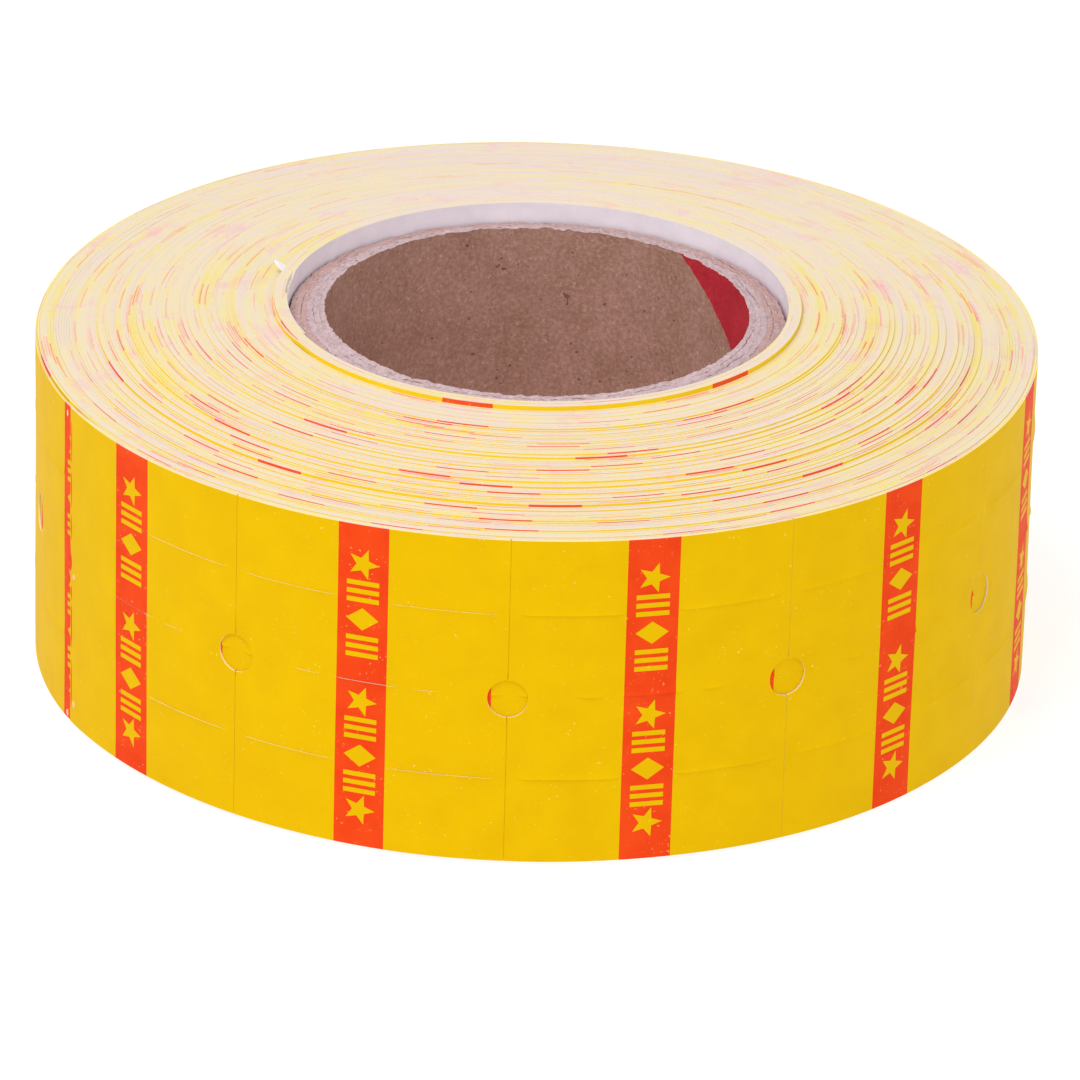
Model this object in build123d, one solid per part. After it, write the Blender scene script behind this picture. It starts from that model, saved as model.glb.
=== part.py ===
from build123d import *
import os
from math import ceil, degrees, radians

# A roll of price-gun labels: a web of release liner and labels, wound on a board core.
# Millimetres, with +Z up the axis of the bore. The origin is on that axis, level with
# the lower edge of the outermost turn, on which the roll rests.

# The web: a liner that carries labels edge to edge on its outer face
web_width = 19.05
label_length = 15.75
label_thickness = 0.068
liner_thickness = 0.060

# The winding, from the free end inward. Each pack is a run of turns that lies a little
# higher than the pack around it, because the roll has slipped into a shallow dome.
roll_radius = 28.2
winding_bore_radius = 14.0
pack_turns = (14, 10, 11, 15, 12, 13, 16, 5)
pack_rises = (0.00, 0.22, 0.50, 0.80, 1.10, 1.35, 1.65, 2.10)
free_end_angle = 204.0
free_end_trim = 0.75

# The outer turn's own labels, and the stretches of liner that unwind with the first few
outer_labels = 11
tail_labels = 3
butt_gap = 0.05

# The labels on the far side of the outer turn lie a little closer together than the near
# ones, which sets the web beneath against the free end
near_labels = 5
far_label_length = 15.33

# Feed holes, one on each butt line, that the gun's feed wheel pulls on
feed_hole_radius = 1.10
feed_hole_depth = 0.491

# Knife slits that tear a label when it is pulled off goods. Each row is a depth below
# the top edge, as a part of the width, and the stretches of the label's length it cuts.
slit_width = 0.06
slit_rows = (
    (0.228, ((0.036, 0.398), (0.583, 0.963))),
    (0.483, ((0.232, 0.335), (0.386, 0.620), (0.666, 0.765))),
    (0.740, ((0.036, 0.398), (0.583, 0.963))),
)

# The core: kraft paper inside and outside, and grey board plies between
core_bore_radius = 11.90
core_radius = 13.90
core_rise = 1.25
kraft_thickness = 0.30
board_plies = 4
glue_line = 0.01

# The outer turn and the packs step inward, and the innermost turn has its own thickness
turn_spacing = (roll_radius - winding_bore_radius) / (1 + sum(pack_turns) + 1)
layer_gap = (turn_spacing - label_thickness - liner_thickness) / 2
liner_depth = label_thickness + layer_gap
label_angle = degrees(label_length / roll_radius)
far_label_angle = degrees(far_label_length / roll_radius)
trim_angle = degrees(free_end_trim / roll_radius)
half_butt_gap_angle = degrees(butt_gap / 2 / roll_radius)
# Half turns are arcs about two centres in turn, which lie this far each side of the axis
centre_offset = turn_spacing / 4


def web_point(travel, depth):
    """A point of the web, by its angle back from the free end and its depth in the web."""
    half_turn = int(travel // 180)
    side = 1 if half_turn % 2 == 0 else -1
    centre = Vector(side * centre_offset, 0).rotate(Axis.Z, free_end_angle)
    radius = roll_radius - centre_offset * (1 + 2 * half_turn) - depth
    return centre + Vector(radius, 0).rotate(Axis.Z, free_end_angle + travel)


def web_line(start, stop, depth):
    """The web's line at one depth, with one arc in each half turn that it passes."""
    joins = [180 * half_turn for half_turn in range(int(start // 180) + 1, ceil(stop / 180))]
    ends = [start] + joins + [stop]
    return [
        ThreePointArc(web_point(a, depth), web_point((a + b) / 2, depth), web_point(b, depth))
        for a, b in zip(ends, ends[1:])
    ]


def ribbon(start, stop, depth, thickness, rise=0.0):
    """A stretch of one layer of the web, at its full width, between two angles."""
    outer = web_line(start, stop, depth)
    inner = web_line(start, stop, depth + thickness)
    ends = [Line(web_point(end, depth), web_point(end, depth + thickness)) for end in (start, stop)]
    face = make_face(outer + inner + ends)
    return Pos(0, 0, rise) * extrude(face, amount=web_width, dir=(0, 0, 1))


def label_ribbon(start, stop, rise=0.0):
    return ribbon(start, stop, 0, label_thickness, rise)


def liner_ribbon(start, stop, rise=0.0):
    return ribbon(start, stop, liner_depth, liner_thickness, rise)


def place_on_web(travel, depth):
    """A place on the outer turn, with X outward and Z up, by its part of the width."""
    height = web_width * (1 - depth)
    return Pos(web_point(travel, 0) + Vector(0, 0, height)) * Rot(0, 0, free_end_angle + travel)


def butt_line(number):
    """How far round the outer turn one of its butt lines lies from the first, in degrees."""
    near = min(number, near_labels)
    return near * label_angle + (number - near) * far_label_angle


def feed_hole(number):
    """The punch for the feed hole on one of the outer turn's butt lines."""
    punch = Rot(0, 90, 0) * Cylinder(feed_hole_radius, 1)
    return place_on_web(butt_line(number), feed_hole_depth) * punch


def slits(first):
    """The knife slits of the label that starts at this butt line."""
    label_start = butt_line(first)
    span = butt_line(first + 1) - label_start
    cuts = []
    for depth, stretches in slit_rows:
        for start, stop in stretches:
            middle = label_start + (start + stop) / 2 * span
            blade = Box(1, radians((stop - start) * span) * roll_radius, slit_width)
            cuts.append(place_on_web(middle, depth) * blade)
    return cuts


def segment_ends(first, last):
    """The angles between which a piece lies, from one butt line to another."""
    start = butt_line(first) + half_butt_gap_angle
    if first == 0:
        start = trim_angle
    return start, butt_line(last) - half_butt_gap_angle


def outer_label(first):
    piece = label_ribbon(*segment_ends(first, first + 1))
    return piece - feed_hole(first) - feed_hole(first + 1) - slits(first)


def tail_liner(first):
    piece = liner_ribbon(*segment_ends(first, first + 1))
    return piece - feed_hole(first) - feed_hole(first + 1)


def outer_liner():
    """The liner of the outer turn, from the innermost tail segment to its full turn."""
    start, _ = segment_ends(tail_labels, outer_labels)
    holes = [feed_hole(number) for number in range(tail_labels, outer_labels + 1)]
    return liner_ribbon(start, 360) - holes


def packs():
    """The web's inner turns. The rim of a pack is its outermost turn, whose printed face
    shows above the pack around it, and the pack is the rest of its turns."""
    pieces = {}
    start = 360
    label_start = butt_line(outer_labels) + half_butt_gap_angle
    for number, (turns, rise) in enumerate(zip(pack_turns, pack_rises), 1):
        for name, length in (("rim", 1), ("pack", turns - 1)):
            stop = start + 360 * length
            pieces[f"liner_{name}_{number}"] = liner_ribbon(start, stop, rise)
            pieces[f"labels_{name}_{number}"] = label_ribbon(label_start, stop, rise)
            start = stop
            label_start = stop
    return pieces


def tube(radius, bore_radius):
    wall = Cylinder(radius, web_width) - Cylinder(bore_radius, web_width)
    return Pos(0, 0, core_rise + web_width / 2) * wall


def core_plies():
    """The core's plies as nested tubes, from the bore outward."""
    wall = core_radius - core_bore_radius
    board_thickness = (wall - 2 * kraft_thickness - (board_plies + 1) * glue_line) / board_plies
    pieces = {"core_inner_kraft": tube(core_bore_radius + kraft_thickness, core_bore_radius)}
    radius = core_bore_radius + kraft_thickness
    for number in range(1, board_plies + 1):
        bore_radius = radius + glue_line
        radius = bore_radius + board_thickness
        pieces[f"core_board_ply_{number}"] = tube(radius, bore_radius)
    pieces["core_outer_kraft"] = tube(core_radius, core_radius - kraft_thickness)
    return pieces


nodes = core_plies()
nodes |= packs()
nodes["liner_outer_turn"] = outer_liner()
for first in range(tail_labels):
    nodes[f"liner_tail_{first + 1}"] = tail_liner(first)
for first in range(outer_labels):
    nodes[f"label_{first + 1:02}"] = outer_label(first)

os.makedirs("parts", exist_ok=True)
for name, solid in nodes.items():
    export_step(solid, f"parts/{name}.step")

for first in range(tail_labels):
    hinge = web_point(butt_line(first + 1), 0)
    print(f"tail hinge {first + 1}: {hinge.X:.4f}, {hinge.Y:.4f}")
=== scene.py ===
import random
from math import atan2, cos, degrees, exp, hypot, pi, radians, sin, tau

import bpy
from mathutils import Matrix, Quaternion, Vector, noise
from mathutils.geometry import delaunay_2d_cdt


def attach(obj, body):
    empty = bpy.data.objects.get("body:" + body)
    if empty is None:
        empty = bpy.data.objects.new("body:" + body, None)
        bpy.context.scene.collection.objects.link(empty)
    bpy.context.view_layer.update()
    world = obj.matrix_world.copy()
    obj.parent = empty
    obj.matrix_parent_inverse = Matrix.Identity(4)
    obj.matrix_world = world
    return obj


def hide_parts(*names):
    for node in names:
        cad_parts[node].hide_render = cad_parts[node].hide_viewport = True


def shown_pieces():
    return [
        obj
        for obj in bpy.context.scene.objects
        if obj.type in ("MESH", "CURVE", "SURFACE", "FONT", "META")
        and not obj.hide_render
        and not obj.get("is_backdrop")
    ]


# A roll of price-gun labels: a printed web of labels on release liner, wound on a board
# core. The web is drawn in millimetres and scaled to metres as each mesh is made.
#
# Travel is the angle round the roll from the web's free end, in degrees. It goes on past
# 360 into the inner turns. Depth is measured inward from the printed face.

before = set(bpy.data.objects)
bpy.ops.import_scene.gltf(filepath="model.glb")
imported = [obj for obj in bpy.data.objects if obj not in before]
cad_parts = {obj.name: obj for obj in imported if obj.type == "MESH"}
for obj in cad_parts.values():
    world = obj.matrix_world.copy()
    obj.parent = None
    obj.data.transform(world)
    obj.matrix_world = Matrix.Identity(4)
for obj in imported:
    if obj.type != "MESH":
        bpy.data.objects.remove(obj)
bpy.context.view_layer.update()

MM = 0.001
SEED = 7


# -------- camera and studio

SENSOR_WIDTH = 36
FOCAL_LENGTH = 281.49
CAMERA_PLACE = Vector((0, -0.43477, 0.20682))
CAMERA_AIM = Vector((0.0005188, 0, 0.0061357))
CAMERA_ROLL = 1.5986
WORLD_STRENGTH = 0.74

# Soft disks of light, as (name, place, width, power), in metres and watts
LIGHTS = (
    ("key", (-0.17, -0.20, 0.54), 0.30, 1.75),
    ("fill", (0.30, -0.45, 0.25), 0.40, 0.25),
)


def toward(direction):
    """The turn that points a camera or a light in a direction."""
    return direction.to_track_quat("-Z", "Y")


def add_object(name, data):
    item = bpy.data.objects.new(name, data)
    bpy.context.scene.collection.objects.link(item)
    return item


def make_camera():
    data = bpy.data.cameras.new("camera")
    data.sensor_width = SENSOR_WIDTH
    data.lens = FOCAL_LENGTH
    data.clip_start = 0.05
    data.clip_end = 10
    camera = add_object("camera", data)
    camera.location = CAMERA_PLACE
    roll = Quaternion((0, 0, 1), radians(CAMERA_ROLL))
    camera.rotation_mode = "QUATERNION"
    camera.rotation_quaternion = toward(CAMERA_AIM - CAMERA_PLACE) @ roll
    bpy.context.scene.camera = camera


def make_light(name, location, size, power):
    data = bpy.data.lights.new(name, "AREA")
    data.shape = "DISK"
    data.size = size
    data.energy = power
    light = add_object(name, data)
    light.location = location
    light.rotation_mode = "QUATERNION"
    light.rotation_quaternion = toward(-Vector(location))


def make_world():
    world = bpy.data.worlds.new("studio")
    world.use_nodes = True
    background = world.node_tree.nodes["Background"]
    background.inputs["Color"].default_value = (1, 1, 1, 1)
    background.inputs["Strength"].default_value = WORLD_STRENGTH
    bpy.context.scene.world = world


make_camera()
bpy.context.scene.view_settings.view_transform = "Standard"
make_world()
for lamp in LIGHTS:
    make_light(*lamp)


# -------- the roll's sizes

WEB_WIDTH = 19.05
LABEL_LENGTH = 15.75
LABEL_THICKNESS = 0.068
LINER_THICKNESS = 0.060
ROLL_RADIUS = 28.2
WINDING_BORE_RADIUS = 14.0
PACK_TURNS = (14, 10, 11, 15, 12, 13, 16, 5)
PACK_RISES = (0.00, 0.22, 0.50, 0.80, 1.10, 1.35, 1.65, 2.10)
FREE_END_ANGLE = 204.0
FREE_END_TRIM = 0.96
NEAR_LABELS = 5
OUTER_LABELS = 11
TAIL_LABELS = 3
FAR_LABEL_LENGTH = 15.33
BUTT_GAP = 0.012
HOLE_RADIUS = 1.10
HOLE_HEIGHT = WEB_WIDTH * (1 - 0.491)

TOTAL_TURNS = sum(PACK_TURNS)
WINDING_END = 360 * (TOTAL_TURNS + 1)
TURN_SPACING = (ROLL_RADIUS - WINDING_BORE_RADIUS) / (TOTAL_TURNS + 2)
LAYER_GAP = (TURN_SPACING - LABEL_THICKNESS - LINER_THICKNESS) / 2
LINER_DEPTH = LABEL_THICKNESS + LAYER_GAP

# Half turns are arcs about two centres, which lie this far from the axis
CENTRE_OFFSET = TURN_SPACING / 4

# Each label stops half a gap short of its butt lines
HALF_GAP = BUTT_GAP / 2
LABEL_END = LABEL_LENGTH - HALF_GAP

# The degrees round the roll of a near and of a far label, and of a millimetre of each
NEAR_ANGLE = degrees(LABEL_LENGTH / ROLL_RADIUS)
FAR_ANGLE = degrees(FAR_LABEL_LENGTH / ROLL_RADIUS)
NEAR_EACH = NEAR_ANGLE / LABEL_LENGTH
FAR_EACH = FAR_ANGLE / LABEL_LENGTH

# The band and the rows of slits, as parts of a label's length. Each row is a depth below
# the top edge, as a part of the width, and the stretches that it cuts.
BAND_START = 0.398
BAND_STOP = 0.580
SLIT_ROWS = (
    (0.228, ((0.036, 0.398), (0.583, 0.963))),
    (0.483, ((0.232, 0.335), (0.386, 0.620), (0.666, 0.765))),
    (0.740, ((0.036, 0.398), (0.583, 0.963))),
)

# Where the second turn's first whole label starts, and where that turn ends
SECOND_BUTT = 371.3
SECOND_STOP = 720

# The innermost pack's labels are this far along from where the rest would set them
INNER_SLIP = 2.4

# The wound layers are pressed together, so they leave no gap
WOUND_LABEL = 0.075
WOUND_LINER = 0.0675


# -------- the web's geometry

# The part of each pack's gain in height that comes as one step, where the next pack starts.
# The rest comes as small uneven steps, some turns apart. The innermost pack gains a little
# less than its CAD stand-in.
STEP_SHARES = (0.30, 0.06, 0.30, 0.06, 0.06, 0.30, 1.0)
STEP_BEFORE = 0.08
STEP_AFTER = 0.03
SMALL_STEP_SPACING = 2.7
SMALL_STEP_WEIGHTS = (0.1, 1.9)
SMALL_STEP_PLACES = (0.2, 0.9)
INNER_PACK_DROP = 0.17

# How unevenly the turns lie, in waves of (height, degrees, seed), and where this sets in
UNEVEN_WAVES = ((0.014, 210, 1), (0.006, 60, 2))
UNEVEN_TURNS = (0.9, 1.6)

# The outer turn sags just before it goes under the free end
SAG = 0.22
SAG_STARTS = (300, 345)
SAG_ENDS = (357, 370)

# The web's bulges: their depth, how many go round, their reach up the web and inward in
# turns, the radii between which they set in, and how near they come to a fold
BULGE = 0.06
BULGE_WAVES = 2.2
BULGE_HEIGHT = 9
BULGE_TURNS = 12
BULGE_RADII = (18, 28)
FOLD_REACH = 5.0

# The innermost turn's top corner is torn. It gets deep and comes up again over these
# degrees from its start.
TEAR_START = WINDING_END - 37
TEAR_DEPTH = 0.26
TEAR_DEEPENS = (0, 3)
TEAR_ENDS = (9, 16)
TEAR_RAGGED = 0.5
TEAR_REACH = 1.3

WANDER_SHIFT = 17.3
WANDER_GAIN = 1.9
SHARP_ANGLE = 42


def butt_line(number):
    """The travel of one of the outer turn's butt lines, where two labels meet."""
    near = min(number, NEAR_LABELS)
    return near * NEAR_ANGLE + (number - near) * FAR_ANGLE


def wander(x, seed):
    """Smooth noise along one line, about -1 to 1."""
    return noise.noise(Vector((x, seed * WANDER_SHIFT, SEED))) * WANDER_GAIN


def smooth(x, low, high):
    """A smooth rise from 0 to 1 between two limits."""
    t = min(max((x - low) / (high - low), 0), 1)
    return t * t * (3 - 2 * t)


def pack_edges():
    """The travel, in turns, at which each pack starts, and the last one ends."""
    edges = [1]
    for turns in PACK_TURNS:
        edges.append(edges[-1] + turns)
    return edges


PACK_EDGES = pack_edges()


def height_steps():
    """The web's steps in height as (turn, gain), from the rim of the roll inward."""
    rng = random.Random(SEED)
    steps = []
    for number, share in enumerate(STEP_SHARES):
        gain = PACK_RISES[number + 1] - PACK_RISES[number]
        if number + 2 == len(PACK_RISES):
            gain -= INNER_PACK_DROP
        count = round(PACK_TURNS[number] / SMALL_STEP_SPACING)
        weights = [rng.uniform(*SMALL_STEP_WEIGHTS) for _ in range(count)]
        for small, weight in enumerate(weights):
            part = (small + rng.uniform(*SMALL_STEP_PLACES)) / count
            turn = PACK_EDGES[number] + part * PACK_TURNS[number]
            steps.append((turn, gain * (1 - share) * weight / sum(weights)))
        steps.append((PACK_EDGES[number + 1], gain * share))
    return sorted(steps)


HEIGHT_STEPS = height_steps()


def dome(turns):
    """How far the web has slipped up the roll, for a distance inward in turns."""
    rise = 0
    for turn, gain in HEIGHT_STEPS:
        if turns < turn - STEP_BEFORE:
            break
        rise += gain * smooth(turns, turn - STEP_BEFORE, turn + STEP_AFTER)
    return rise


def lift(travel):
    """The height of the web's lower edge."""
    turns = travel / 360
    uneven = sum(height * wander(travel / reach, seed) for height, reach, seed in UNEVEN_WAVES)
    uneven *= smooth(turns, *UNEVEN_TURNS)
    sag = SAG * smooth(travel, *SAG_STARTS) * (1 - smooth(travel, *SAG_ENDS))
    return dome(turns) + uneven - sag


def bulge(travel, height):
    """How far the web stands off its ideal spiral. There is none at the folds of the tail."""
    angle = radians(FREE_END_ANGLE + travel)
    turns = travel / 360
    place = Vector((BULGE_WAVES * cos(angle), BULGE_WAVES * sin(angle),
                    height / BULGE_HEIGHT + turns / BULGE_TURNS))
    out = BULGE * noise.noise(place) * smooth(ROLL_RADIUS - turns * TURN_SPACING, *BULGE_RADII)
    for fold in range(1, TAIL_LABELS + 1):
        away = travel % 360 - fold * NEAR_ANGLE
        out *= 1 - exp(-(away / FOLD_REACH) ** 2)
    return out


def web_point(travel, depth):
    """A point of the ideal spiral, as x and y."""
    half_turn = int(travel // 180)
    side = 1 if half_turn % 2 == 0 else -1
    start = radians(FREE_END_ANGLE)
    angle = radians(FREE_END_ANGLE + travel)
    radius = ROLL_RADIUS - CENTRE_OFFSET * (1 + 2 * half_turn) - depth
    x = side * CENTRE_OFFSET * cos(start) + radius * cos(angle)
    y = side * CENTRE_OFFSET * sin(start) + radius * sin(angle)
    return x, y


def tear(travel):
    """How deep the inner end of the web is torn down at its top edge."""
    part = travel - TEAR_START
    ragged = 1 + TEAR_RAGGED * wander(part / TEAR_REACH, 9)
    return TEAR_DEPTH * smooth(part, *TEAR_DEEPENS) * (1 - smooth(part, *TEAR_ENDS)) * ragged


def web_vertex(travel, height, depth, raised=0.0):
    """A point of the web in metres. raised is how far it stands out of its layer."""
    x, y = web_point(travel, depth - raised - bulge(travel, height))
    if travel > TEAR_START:
        height -= tear(travel) * height / WEB_WIDTH
    return Vector((x, y, height + lift(travel))) * MM


def make_object(name, vertices, faces, slots, materials, tones=None):
    """A mesh object, with the number of each face's material and the tone of each vertex."""
    mesh = bpy.data.meshes.new(name)
    mesh.from_pydata(vertices, [], faces)
    for material in materials:
        mesh.materials.append(material)
    mesh.polygons.foreach_set("material_index", slots)
    mesh.polygons.foreach_set("use_smooth", [True] * len(faces))
    if tones:
        mesh.attributes.new("tone", "FLOAT", "POINT").data.foreach_set("value", tones)
    mesh.update()
    mesh.validate()
    mesh.set_sharp_from_angle(angle=radians(SHARP_ANGLE))
    return add_object(name, mesh)


def finish_piece(piece, body, slot, *nodes):
    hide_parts(*nodes)
    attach(piece, body)


def join(name, pieces):
    bpy.ops.object.select_all(action="DESELECT")
    for piece in pieces:
        piece.select_set(True)
    bpy.context.view_layer.objects.active = pieces[0]
    bpy.ops.object.join()
    pieces[0].name = name
    return pieces[0]


# -------- the web's materials

class Nodes:
    """A short way to write a material's node tree."""

    def __init__(self, name):
        self.material = bpy.data.materials.new(name)
        self.material.use_nodes = True
        self.tree = self.material.node_tree
        self.shader = self.tree.nodes["Principled BSDF"]

    def add(self, kind, settings=None, **inputs):
        node = self.tree.nodes.new(kind)
        for key, value in (settings or {}).items():
            setattr(node, key, value)
        for key, value in inputs.items():
            self.set(node, key.replace("_", " "), value)
        return node

    def set(self, node, key, value):
        """Sets or links an input, given by its name, or as "in" and its number."""
        socket = node.inputs[int(key[3:])] if key.startswith("in ") else node.inputs[key]
        if isinstance(value, bpy.types.NodeSocket):
            self.tree.links.new(value, socket)
        else:
            socket.default_value = value

    def position(self, scale=(1, 1, 1)):
        """Object coordinates in millimetres."""
        source = self.add("ShaderNodeTexCoord").outputs["Object"]
        node = self.add("ShaderNodeMapping", Vector=source)
        node.inputs["Scale"].default_value = [s / MM for s in scale]
        return node.outputs["Vector"]

    def noise(self, vector, scale, detail=2.0, roughness=0.5):
        node = self.add("ShaderNodeTexNoise", Vector=vector, Scale=scale, Detail=detail,
                        Roughness=roughness)
        return node.outputs["Fac"]

    def spread(self, value, low, high, out_low=0.0, out_high=1.0):
        """Maps low to out_low and high to out_high, and holds them beyond."""
        node = self.add("ShaderNodeMapRange", Value=value)
        node.inputs["From Min"].default_value = low
        node.inputs["From Max"].default_value = high
        node.inputs["To Min"].default_value = out_low
        node.inputs["To Max"].default_value = out_high
        return node.outputs["Result"]

    def maths(self, operation, first, second):
        node = self.add("ShaderNodeMath", {"operation": operation})
        self.set(node, "in 0", first)
        self.set(node, "in 1", second)
        return node.outputs[0]

    def mix(self, factor, first, second):
        node = self.add("ShaderNodeMix", {"data_type": "RGBA"})
        colours = [f"in {i}" for i, socket in enumerate(node.inputs) if socket.type == "RGBA"]
        for key, value in zip(["in 0"] + colours, (factor, first, second)):
            self.set(node, key, value)
        return [socket for socket in node.outputs if socket.type == "RGBA"][0]

    def bump(self, height, distance):
        """A normal from a height that goes so deep, in millimetres."""
        node = self.add("ShaderNodeBump", Height=height, Strength=1.0)
        node.inputs["Distance"].default_value = distance * MM
        return node.outputs["Normal"]

    def finish(self, colour, roughness, specular, normal):
        self.set(self.shader, "Base Color", colour)
        self.set(self.shader, "Roughness", roughness)
        self.set(self.shader, "Specular IOR Level", specular)
        self.set(self.shader, "Normal", normal)
        return self.material


def rgb(red, green, blue):
    """A linear colour from sRGB values of 0 to 255."""
    def linear(value):
        value /= 255
        return value / 12.92 if value <= 0.04045 else ((value + 0.055) / 1.055) ** 2.4
    return linear(red), linear(green), linear(blue), 1


def printed_paper(name, base, deep, speck, speck_limit):
    """Printed label paper: flat ink with faint mottling, pale specks and paper fibre."""
    n = Nodes(name)
    place = n.position()
    mottle = n.noise(place, 0.5, 3.0)
    grain = n.noise(place, 7.0, 3.0, 0.6)
    ink = n.mix(n.spread(mottle, 0.3, 0.7), base, deep)
    specks = n.noise(place, 5.5, 1.0)
    specks = n.spread(specks, speck_limit, speck_limit + 0.06, 0.0, 0.6)
    sparse = n.spread(n.noise(place, 0.9), 0.45, 0.62)
    ink = n.mix(n.maths("MULTIPLY", specks, sparse), ink, speck)
    fibre = n.noise(n.position((1.0, 1.0, 0.5)), 3.2, 4.0, 0.6)
    return n.finish(ink, n.spread(grain, 0.3, 0.7, 0.42, 0.62), 0.03, n.bump(fibre, 0.012))


def label_back():
    """The back of a label, white paper under a thin uneven coat of adhesive."""
    n = Nodes("label_back")
    place = n.position()
    coat = n.noise(place, 0.8, 4.0, 0.6)
    pale = n.mix(n.spread(coat, 0.35, 0.65), rgb(240, 232, 222), rgb(232, 220, 206))
    ripple = n.noise(place, 3.0, 5.0, 0.7)
    return n.finish(pale, n.spread(coat, 0.3, 0.7, 0.28, 0.5), 0.4, n.bump(ripple, 0.02))


STAIN = rgb(232, 178, 196)


def cut_edge(name, pale, middle, strong, low=0.1, high=0.9):
    """The slit edge of the web, paper that goes from pale to strong as its tone goes from
    low to high. Here and there ink stains it."""
    n = Nodes(name)
    tone = n.add("ShaderNodeAttribute", {"attribute_name": "tone"}).outputs["Fac"]
    place = n.position()
    cloud = n.noise(place, 0.45, 3.0, 0.6)
    cloud = n.spread(cloud, 0.25, 0.75, -0.16, 0.16)
    grain = n.spread(n.noise(place, 6.0), 0.2, 0.8, -0.12, 0.12)
    blend = n.maths("ADD", tone, n.maths("ADD", cloud, grain))
    half = (low + high) / 2
    lower = n.mix(n.spread(blend, low, half), pale, middle)
    paper = n.mix(n.spread(blend, half, high), lower, strong)
    stain = n.noise(n.position((0.3, 0.3, 0.3)), 1.0, 4.0, 0.7)
    paper = n.mix(n.spread(stain, 0.56, 0.72, 0.0, 0.6), paper, STAIN)
    burr = n.noise(place, 16.0, 3.0, 0.6)
    return n.finish(paper, 0.75, 0.1, n.bump(burr, 0.01))


def liner_paper():
    """Release liner, smooth pale paper with a slight gloss."""
    n = Nodes("liner_paper")
    place = n.position()
    shade = n.spread(n.noise(place, 0.6, 3.0), 0.3, 0.7)
    pale = n.mix(shade, rgb(246, 242, 250), rgb(236, 230, 240))
    gloss = n.spread(n.noise(place, 4.0, 3.0), 0.3, 0.7, 0.35, 0.5)
    fibre = n.noise(n.position((1, 1, 0.4)), 2.5, 4.0, 0.6)
    return n.finish(pale, gloss, 0.3, n.bump(fibre, 0.012))


LAVENDER = rgb(223, 206, 201)
CREAM = rgb(228, 213, 178)
LEMON = rgb(232, 213, 124)
BLUSH = rgb(232, 204, 192)
PINK = rgb(234, 160, 150)
ROSE = rgb(222, 96, 84)

# Wound labels show as thin lines in the shade between turns, so their ink is a brighter copy of the
# print: painted light
PRINT = printed_paper("label_print", rgb(229, 184, 0), rgb(224, 178, 0),
                      rgb(252, 222, 110), 0.71)
BAND = printed_paper("band_print", rgb(238, 76, 24), rgb(228, 62, 20),
                     rgb(252, 170, 110), 0.67)
LIT_WOUND_PRINT = printed_paper("wound_print_painted_light", rgb(246, 210, 40), rgb(244, 206, 28),
                            rgb(252, 226, 130), 0.71)
LIT_WOUND_BAND = printed_paper("wound_band_painted_light", rgb(240, 96, 44), rgb(236, 84, 36),
                           rgb(252, 170, 110), 0.67)
EDGE = cut_edge("label_edge", LAVENDER, CREAM, LEMON, 0.12, 0.92)
BAND_EDGE = cut_edge("band_edge", BLUSH, PINK, ROSE, 0.42, 1.15)
INKED_EDGE = cut_edge("inked_edge", rgb(246, 230, 160), rgb(246, 224, 130), rgb(240, 206, 90))
LINER_FACE = liner_paper()
LINER_CUT = cut_edge("liner_edge", LAVENDER, CREAM, LEMON, 0.14, 0.94)
CHIP = cut_edge("torn_paper", rgb(242, 190, 160), rgb(242, 202, 140), rgb(240, 206, 120))
LABEL_BACK = label_back()


# Each paper's materials, depth and thickness, and the numbers of the materials of its cut
# edges, out of the band and in it, and of its back
LABEL_MATERIALS = (PRINT, BAND, INKED_EDGE, BAND_EDGE, CHIP, LABEL_BACK)
LABEL_PAPER = (LABEL_MATERIALS, 0, LABEL_THICKNESS, 2, 3, 5)
LINER_MATERIALS = (LINER_FACE, LINER_CUT)
LINER_PAPER = (LINER_MATERIALS, LINER_DEPTH, LINER_THICKNESS, 1, 1, 0)
PLAIN_SLOT = 0
BAND_SLOT = 1
CHIP_SLOT = 4

# The numbers of the materials on a wound layer's outer side, top, inner side and bottom
WOUND_MATERIALS = (LIT_WOUND_PRINT, LIT_WOUND_BAND, EDGE, BAND_EDGE)
WOUND_PLAIN_SLOTS = [0, 2, 2, 2]
WOUND_BAND_SLOTS = [1, 3, 2, 3]
WOUND_LINER_SLOTS = [0, 1, 0, 1]


# -------- wound ribbons

# The cross-sections of a label on each side of its band and in it, and of the tear
PLAIN_SECTIONS = 11
BAND_SECTIONS = 5
TEAR_SECTIONS = 30
TEAR_SECTION = 0.7
SECTION_MARGIN = 0.01

# The tone of the web's cut edges, and its gain toward the front and sides and in streaks.
# Finer streaks run along each turn, as (amount, degrees, seed).
TONE = 0.40
TONE_AT_FRONT = 0.035
TONE_AT_SIDES = 0.18
TONE_IN_STREAKS = 0.36
STREAK = 1.25
STREAK_WAVES = 1.6
STREAK_TURNS = 2.6
FINE_STREAKS = ((0.14, 150, 5), (0.06, 40, 6))


def length_table():
    """How long the web is from the free end to the start of each half turn."""
    lengths = [0]
    for half_turn in range(2 * TOTAL_TURNS + 4):
        radius = ROLL_RADIUS - CENTRE_OFFSET * (1 + 2 * half_turn)
        lengths.append(lengths[-1] + radius * pi)
    return lengths


LENGTHS = length_table()


def travel_at(length):
    """The travel at a length along the web."""
    low = 0
    high = len(LENGTHS) - 1
    while high - low > 1:
        middle = (low + high) // 2
        if LENGTHS[middle] <= length:
            low = middle
        else:
            high = middle
    part = (length - LENGTHS[low]) / (LENGTHS[low + 1] - LENGTHS[low])
    return (low + part) * 180


def length_at(travel):
    """The length along the web at a travel."""
    half_turn = int(travel // 180)
    part = travel / 180 - half_turn
    return LENGTHS[half_turn] + part * (LENGTHS[half_turn + 1] - LENGTHS[half_turn])


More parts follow.
